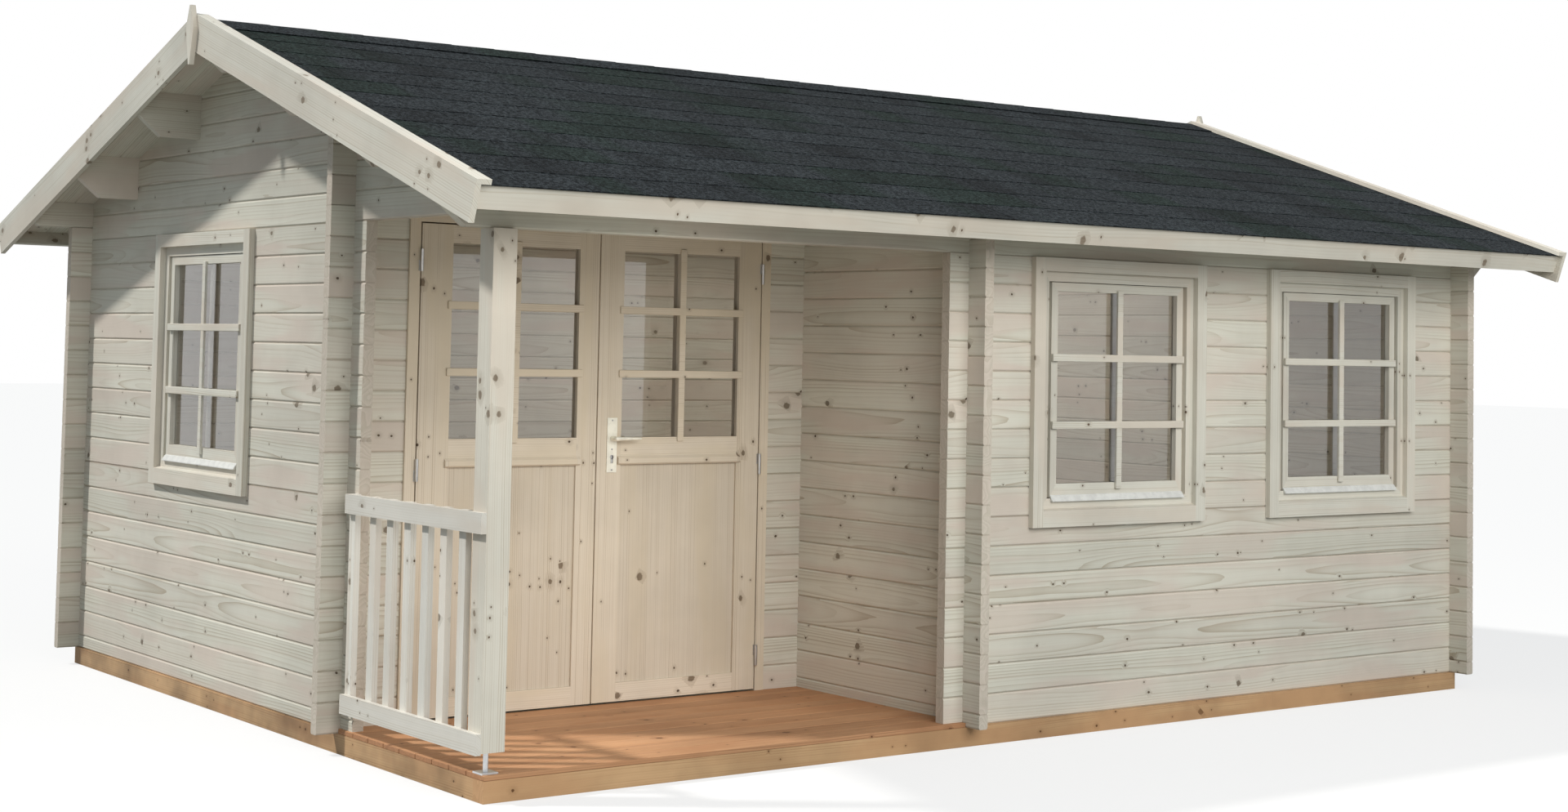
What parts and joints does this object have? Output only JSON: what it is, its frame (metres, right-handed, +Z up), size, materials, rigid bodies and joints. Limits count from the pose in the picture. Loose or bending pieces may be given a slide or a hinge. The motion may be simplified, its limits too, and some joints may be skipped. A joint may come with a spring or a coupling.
{
  "type": "log garden house",
  "caption": "Log-built garden house with a covered corner porch, glazed double doors that swing outwards, windows and a shallow gable roof.",
  "frame": {"origin": "middle of the house's box on the ground, below the ridge", "axes": "+X along the ridge away from the porch, +Y from the porch front to the rear wall, +Z up"},
  "size_m": [5.784, 4.6066, 2.8244],
  "materials": {
    "log_wood": "raw planed spruce",
    "planed_wood": "raw planed spruce",
    "roof_wood": "raw planed spruce",
    "floor_wood": "raw planed spruce",
    "deck_wood": "brown impregnated",
    "sill_wood": "brown impregnated",
    "shingles": "bitumen with mineral grit",
    "glass": "clear",
    "steel": "galvanised",
    "handle_metal": "satin",
    "drip_metal": "satin"
  },
  "bodies": {
    "house": {"long_sills": "sill_wood", "floor_bearers": "sill_wood", "room_floor": "floor_wood", "porch_deck": "deck_wood", "front_wall_low": "log_wood", "front_wall_piers": "log_wood", "front_plate": "log_wood", "rear_wall": "log_wood", "rear_plate": "log_wood", "left_gable_low": "log_wood", "left_gable_piers": "log_wood", "left_gable_top": "log_wood", "right_gable_wall": "log_wood", "right_gable_top": "log_wood", "porch_side_wall": "log_wood", "door_wall_piers": "log_wood", "door_wall_top": "log_wood", "purlins": "roof_wood", "front_roof_boards": "roof_wood", "rear_roof_boards": "roof_wood", "front_shingles": "shingles", "rear_shingles": "shingles", "ridge_shingles": "shingles", "eave_fascias": "planed_wood", "barge_boards": "planed_wood", "cover_battens": "planed_wood", "gable_finials": "planed_wood", "porch_post": "planed_wood", "post_foot": "steel", "balustrade": "planed_wood", "window_posts": "planed_wood", "window_rails": "planed_wood", "window_panes": "glass", "casing_sides": "planed_wood", "casing_rails": "planed_wood", "window_drips": "drip_metal", "door_jambs": "planed_wood", "door_head": "planed_wood", "frame_hinges": "steel"},
    "left_door": {"left_door_leaf": "planed_wood", "left_door_pane": "glass", "left_leaf_hinges": "steel"},
    "right_door": {"right_door_leaf": "planed_wood", "right_door_pane": "glass", "right_leaf_hinges": "steel", "handle_plates": "handle_metal"},
    "lever": {"door_lever": "handle_metal"}
  },
  "joints": [
    {"name": "left_door_hinge", "type": "hinge", "parent": "house", "child": "left_door", "pos_m": [-2.3005, -0.876, 1], "axis": [0, 0, -1], "range_deg": [0, 95]},
    {"name": "right_door_hinge", "type": "hinge", "parent": "house", "child": "right_door", "pos_m": [-0.7025, -0.876, 1], "axis": [0, 0, 1], "range_deg": [0, 95]},
    {"name": "lever_turn", "type": "hinge", "parent": "right_door", "child": "lever", "pos_m": [-1.4315, -0.847, 1.143], "axis": [0, 1, 0], "range_deg": [0, 35], "stiffness_Nm_per_rad": 1.5, "springref_deg": -17.19}
  ]
}
